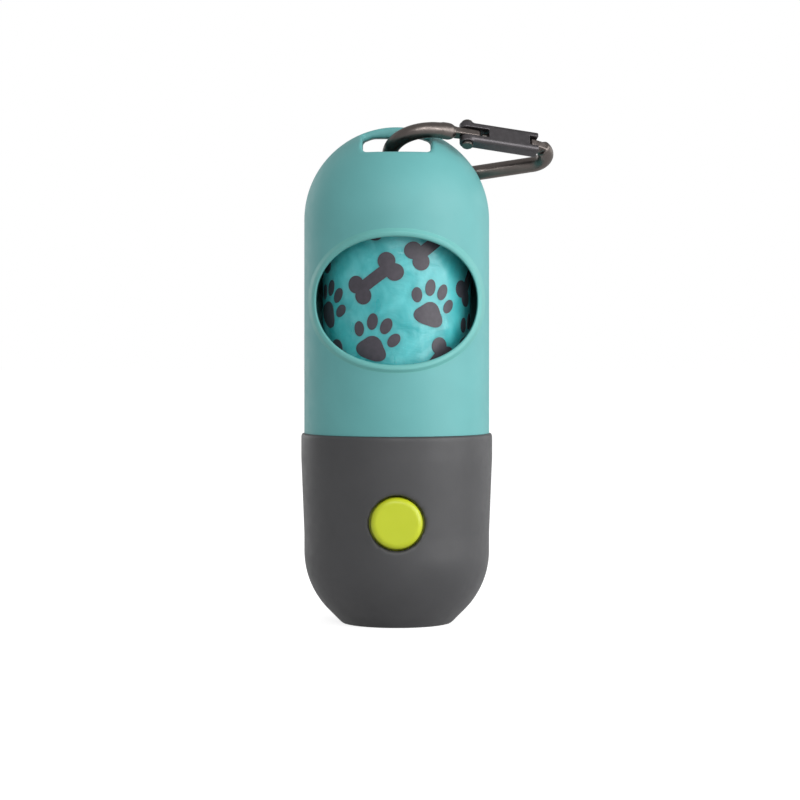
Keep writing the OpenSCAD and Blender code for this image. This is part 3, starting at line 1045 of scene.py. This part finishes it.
@dataclass
class PushButton:
    """Lime push button with a rounded edge, a dished face and a flange behind the wall."""

    radius: float = 5.8
    face: float = 21.9
    centre_z: float = 24.3
    edge: float = 1.3
    edge_steps: int = 12
    dish_w: float = 0.7
    dish_step: float = 0.03
    dish_depth: float = 0.12
    flange_r: float = 7.2
    flange_t: float = 1.0
    flange_front: float = 17.61
    sides: int = 128

    def build(self) -> None:
        """Builds and dresses the button."""
        front, back = self.flange_front, self.flange_front - self.flange_t
        flat_r = self.radius - self.edge
        rim = arc((flat_r, self.face - self.edge), self.edge, 0, 90, self.edge_steps)
        dish = [(flat_r - self.dish_w, self.face - self.dish_step), (0, self.face - self.dish_depth)]
        cap = Solid.spun([
            (0, back), (self.flange_r, back), (self.flange_r, front), (self.radius, front),
            *rim, *dish], self.sides)
        cap.facing_front(self.centre_z)
        cap.finished("button_moulding", Body.BUTTON, "button_lime", LIME, ["button_cap"], sharp=50)


@dataclass
class BagRoll:
    """Roll of bags: wound film with a generic print of paws and bones.

    Attributes:
        fold: Height and depth of the turned edge at each end of the film.
        print_sink: How deep the print's skin reaches under the film.
        first_column: Angle of the first column of motifs, in degrees from the front.
        lifts: Height of a motif in its row, for even and odd columns.
        leans: Turns that the motifs take in order, in degrees.
        pad: Half width, half height and height of the pad, in tenths of the paw's size.
        swell: How far the pad bulges into three lobes, and how far its top shrinks.
        toes: Place, half width, half height and turn of each toe, in the same tenths.
        stamp_sink: How far a motif's prism starts under the film.
    """

    radius: float = 17.1
    bore: float = 7.05
    low_z: float = 41.9
    high_z: float = 96.4
    fold: float = 0.2
    plies: int = 11
    ply_depth: float = 0.3
    skin_steps: int = 90
    sides: int = 224
    waviness: float = 0.1
    wave_across: float = 5.0
    wave_up: float = 14.0
    print_rise: float = 0.06
    print_sink: float = 0.3
    print_margin: float = 0.5
    print_sides: int = 320
    columns: int = 8
    rows: int = 4
    first_column: float = -17.0
    lifts: Point2 = (0.72, 0.28)
    leans: tuple[float, ...] = (24, -31, 12, -18)
    paw_size: float = 11.5
    pad: Point3 = (3.0, 2.35, -1.9)
    pad_points: int = 60
    swell: Point2 = (0.12, 0.08)
    toes: tuple[tuple[float, ...], ...] = (
        (-3.7, 0.9, 1.05, 1.5, 22), (-1.45, 3.1, 1.1, 1.65, 8),
        (1.45, 3.1, 1.1, 1.65, -8), (3.7, 0.9, 1.05, 1.5, -22))
    toe_points: int = 36
    bone_length: float = 13.0
    bone_lean: float = 24.0
    knob_r: float = 2.0
    knob_off: float = 1.55
    knob_steps: int = 16
    shaft_half: float = 1.4
    stamp_sink: float = 4.0
    stamp_h: float = 8.0

    def roll(self) -> Solid:
        """Wound roll, with ridges of film on both ends and a wavy skin.

        Returns:
            The roll.
        """
        def ply_line(z: float, inward: float) -> list[Point2]:
            """Ridged end face.

            Args:
                z: Height of the end.
                inward: 1 where the roll lies above the end, -1 where it lies below.

            Returns:
                Points of radius and height, from the bore out to the skin.
            """
            step = (self.radius - self.bore - 2 * self.fold) / self.plies
            line = []
            for i in range(self.plies + 1):
                r = self.bore + self.fold + i * step
                line.append((r, z))
                if i < self.plies:
                    line.append((r + step / 2, z + inward * self.ply_depth))
            return line

        height = self.high_z - self.low_z - 2 * self.fold
        skin = [(self.radius, self.low_z + self.fold + height * i / self.skin_steps)
                for i in range(self.skin_steps + 1)]
        ring = [*ply_line(self.low_z, 1), *skin, *reversed(ply_line(self.high_z, -1)),
                (self.bore, self.high_z - self.fold), (self.bore, self.low_z + self.fold)]
        roll = Solid.spun(ring, self.sides, ring=True)
        for vertex in roll.obj.data.vertices:
            x, y, z = vertex.co
            r = math.hypot(x, y)
            if r > self.radius - NEAR_MM:
                wave = noise.noise(Vector((x / self.wave_across, y / self.wave_across, z / self.wave_up)))
                scale = 1 - self.waviness * (0.5 + 0.5 * wave) / r
                vertex.co = (x * scale, y * scale, z)
        return roll

    def paw(self) -> list[list[Point2]]:
        """Outlines of a paw print: a broad pad under toes.

        Returns:
            Outline of the pad and of each toe.
        """
        s = self.paw_size / 10

        def oval(x: float, y: float, a: float, b: float, turn: float) -> list[Point2]:
            """Outline of one toe.

            Args:
                x: Place of its centre across the print.
                y: Place of its centre up the print.
                a: Half its width.
                b: Half its height.
                turn: Its lean to the left, in degrees.

            Returns:
                The outline.
            """
            c, d = math.cos(math.radians(turn)), math.sin(math.radians(turn))
            steps = self.toe_points
            ring = [(a * math.cos(t), b * math.sin(t))
                    for t in (i * FULL_TURN / steps for i in range(steps))]
            return [((x + u * c - v * d) * s, (y + u * d + v * c) * s) for u, v in ring]

        half_w, half_h, height = self.pad
        lobes, shrink = self.swell
        pad = []
        for i in range(self.pad_points):
            t = i * FULL_TURN / self.pad_points
            swell = 1 + lobes * math.cos(3 * (t - math.pi / 2)) - shrink * math.sin(t)
            pad.append((half_w * swell * math.cos(t) * s, (height + half_h * swell * math.sin(t)) * s))
        return [pad, *(oval(*toe) for toe in self.toes)]

    def bone(self) -> list[list[Point2]]:
        """Outline of a bone: a shaft with two knobs on each end.

        Returns:
            A list with the one outline.
        """
        knob, off, shaft = self.knob_r, self.knob_off, self.shaft_half
        x = self.bone_length / 2 - knob
        start = 180 - math.degrees(math.asin((shaft - off) / knob))
        end = -math.degrees(math.asin(off / knob))
        quarter = arc((x, off), knob, start, end, self.knob_steps)
        right = [*quarter, *((px, -py) for px, py in reversed(quarter[:-1]))]
        return [[*right, *((-px, -py) for px, py in right)]]

    def printed(self) -> Solid:
        """Printed motifs, laid in staggered columns round the roll.

        Returns:
            A thin skin in the shape of the motifs.
        """
        outlines = {Motif.PAW: self.paw(), Motif.BONE: self.bone()}
        stamps: list[Solid] = []
        pitch = (self.high_z - self.low_z) / self.rows
        for column in range(self.columns):
            for row in range(self.rows):
                motif = Motif.PAW if (row + column) % 2 else Motif.BONE
                z = self.low_z + (row + self.lifts[column % 2]) * pitch
                angle = math.radians(column * 360 / self.columns + self.first_column)
                lean = math.radians(self.leans[(row * 3 + column) % len(self.leans)])
                if motif is Motif.BONE:
                    lean += math.radians(self.bone_lean)
                out = Vector((math.sin(angle), -math.cos(angle), 0))
                along = Vector((math.cos(angle), math.sin(angle), 0))
                turn = Matrix((along, (0, 0, 1), out)).transposed().to_4x4()
                start = out * (self.radius - self.stamp_sink) + Vector((0, 0, z))
                place = Matrix.Translation(start) @ turn
                for points in outlines[motif]:
                    stamp = Solid.prism(points, self.stamp_h)
                    stamps.append(stamp.moved(place @ Matrix.Rotation(lean, 4, "Z")))
        first = stamps[0].with_parts(stamps[1:])
        low, high = self.low_z + self.print_margin, self.high_z - self.print_margin
        inner, outer = self.radius - self.print_sink, self.radius + self.print_rise
        corners = [(inner, low), (outer, low), (outer, high), (inner, high)]
        return Solid.spun(corners, self.print_sides, ring=True).keep(first)

    def build(self) -> None:
        """Builds and dresses the roll and its print."""
        self.roll().finished("film_roll", Body.ROLL, "bag_film", FILM, ["bag_roll"], sharp=50)
        self.printed().finished("film_print", Body.ROLL, "bag_film", INK, sharp=30)


@dataclass
class Carabiner:
    """Spring-gate carabiner: a round bar, a forked gate and a rivet."""

    bar_cell: float = 0.16
    bar_passes: int = 22
    gate_cell: float = 0.13
    rivet_cell: float = 0.1
    gate_passes: int = 3

    def build(self) -> None:
        """Rounds the carabiner's edges and dresses it."""
        bar = Solid.copy_of("carabiner_body").softened(self.bar_cell, self.bar_passes)
        bar.finished("carabiner_bar", Body.CARABINER, "clip_gunmetal", GUNMETAL, ["carabiner_body"])
        gate = Solid.copy_of("gate").softened(self.gate_cell, self.gate_passes)
        gate.finished("carabiner_gate", Body.GATE, "clip_gunmetal", GATE_METAL, ["gate"])
        rivet = Solid.copy_of("gate_pin").softened(self.rivet_cell, self.gate_passes)
        rivet.finished("gate_rivet", Body.GATE, "rivet_steel", RIVET, ["gate_pin"])


# ---------------------------------------------------------------- studio


@dataclass
class Lamp:
    """Square soft box that looks at the dispenser.

    Attributes:
        name: Name of the lamp.
        place: Where it stands, in metres.
        side: Side of its square, in metres.
        power: Power in watts.
        only: Names of the pieces that it lights, or none for all.
    """

    name: str
    place: Point3
    side: float
    power: float
    only: tuple[str, ...] = ()

    def build(self, target: Vector) -> None:
        """Puts the lamp up.

        Args:
            target: Point that the lamp looks at.
        """
        data = bpy.data.lights.new(self.name, "AREA")
        data.size, data.energy = self.side, self.power
        obj = bpy.data.objects.new(self.name, data)
        obj.location = self.place
        obj.rotation_euler = (target - Vector(self.place)).to_track_quat("-Z", "Y").to_euler()
        bpy.context.scene.collection.objects.link(obj)
        if self.only:
            lit = bpy.data.collections.new(self.name)
            for name in self.only:
                lit.objects.link(bpy.data.objects[name])
            obj.light_linking.receiver_collection = lit


@dataclass
class Studio:
    """White floor and surroundings, soft lamps and the camera of the photograph.

    Attributes:
        fill_light: Strength of the surroundings on dull surfaces.
        mirror_light: Their strength in shiny surfaces.
        white: Their strength in plain sight.
        floor_glow: Strength that lifts the floor to white in plain sight.
    """

    camera_y: float = -0.6
    camera_z: float = 0.0696
    focal: float = 117.09
    shift: Point2 = (0.0041, -0.1)
    fill_light: float = 0.5
    mirror_light: float = 0.5
    white: float = 1.0
    floor_glow: float = 0.8
    floor_grey: float = 0.55
    floor_size: float = 6.0
    target_z: float = 0.06
    lamps: tuple[Lamp, ...] = (
        Lamp("key_lamp", (0.80, -0.46, 0.22), 1.0, 10.8),
        Lamp("front_lamp", (-0.12, -0.82, 0.58), 0.18, 0.8),
        Lamp("low_lamp", (0.06, -0.9, 0.34), 0.18, 1.0),
        Lamp("left_clip_lamp", (-0.3, -0.75, 0.45), 0.22, 2.4, CLIP_PIECES),
        Lamp("right_clip_lamp", (0.25, -0.85, 0.3), 0.22, 2.4, CLIP_PIECES),
        Lamp("left_rim_lamp", (-0.53, 0.64, 0.15), 0.5, 0.8),
        Lamp("right_rim_lamp", (0.66, 0.4, 0.12), 0.5, 0.8),
    )

    def camera(self) -> None:
        """Sets the camera at the photograph's viewpoint."""
        data = bpy.data.cameras.new("camera")
        data.lens = self.focal
        data.shift_x, data.shift_y = self.shift
        obj = bpy.data.objects.new("camera", data)
        obj.location = (0, self.camera_y, self.camera_z)
        obj.rotation_euler = (math.pi / 2, 0, 0)
        bpy.context.scene.collection.objects.link(obj)
        bpy.context.scene.camera = obj

    def level(self, tree: bpy.types.NodeTree, plain: float, mirrored: float,
              seen: float) -> bpy.types.NodeSocket:
        """Brightness that depends on how light reaches the eye.

        Args:
            tree: Node tree that takes the nodes.
            plain: Value for light on dull surfaces.
            mirrored: Value in shiny surfaces.
            seen: Value in plain sight or through clear plastic.

        Returns:
            The chosen value.
        """
        path = tree.nodes.new("ShaderNodeLightPath")
        result = None
        for kind, value in (("Is Glossy Ray", mirrored), ("Is Transmission Ray", seen),
                            ("Is Camera Ray", seen)):
            node = tree.nodes.new("ShaderNodeMapRange")
            node.inputs["To Min"].default_value = plain
            node.inputs["To Max"].default_value = value
            if result:
                tree.links.new(result, node.inputs["To Min"])
            tree.links.new(path.outputs[kind], node.inputs["Value"])
            result = node.outputs["Result"]
        return result

    def surroundings(self) -> None:
        """White world that lights the object at a plain level."""
        world = bpy.data.worlds.new("surroundings")
        world.use_nodes = True
        bpy.context.scene.world = world
        tree = world.node_tree
        backdrop = tree.nodes["Background"]
        backdrop.inputs["Color"].default_value = (1, 1, 1, 1)
        level = self.level(tree, self.fill_light, self.mirror_light, self.white)
        tree.links.new(level, backdrop.inputs["Strength"])

    def floor(self) -> None:
        """White floor that keeps the dispenser's shadow."""
        bpy.ops.object.select_all(action="DESELECT")
        bpy.ops.mesh.primitive_plane_add(size=self.floor_size)
        obj = bpy.context.object
        obj.name = "floor"
        g = Graph("white_floor")
        g.settings(Base_Color=(*(self.floor_grey,) * 3, 1), Roughness=1.0, Specular_IOR_Level=0.0,
                   Emission_Color=(1, 1, 1, 1))
        level = self.level(g.material.node_tree, 0, self.mirror_light / 2, self.floor_glow)
        g.link(level, g.shader.inputs["Emission Strength"])
        obj.data.materials.append(g.material)

    def build(self) -> None:
        """Sets up the camera, surroundings, floor and lamps round the finished pieces."""
        bpy.context.scene.view_settings.view_transform = "Standard"
        self.camera()
        self.surroundings()
        self.floor()
        for lamp in self.lamps:
            lamp.build(Vector((0, 0, self.target_z)))


def dress_cad_nodes() -> None:
    """Gives each CAD node that no piece stands for its finish."""
    for node, finish in CAD_FINISHES.items():
        Paint.coat(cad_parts[node], finish)
        LOG.info("%s: CAD solid with %s", node, finish.name)


def main() -> None:
    """Builds every sub-assembly and the studio, then dresses the CAD nodes."""
    logging.basicConfig(level=logging.INFO, format="%(name)s: %(message)s")
    for assembly in (TopShell(), FlashlightCup(), NeckThread(), PushButton(), BagRoll(),
                     Carabiner(), Studio()):
        assembly.build()
    dress_cad_nodes()


if __name__ == "__main__":
    main()
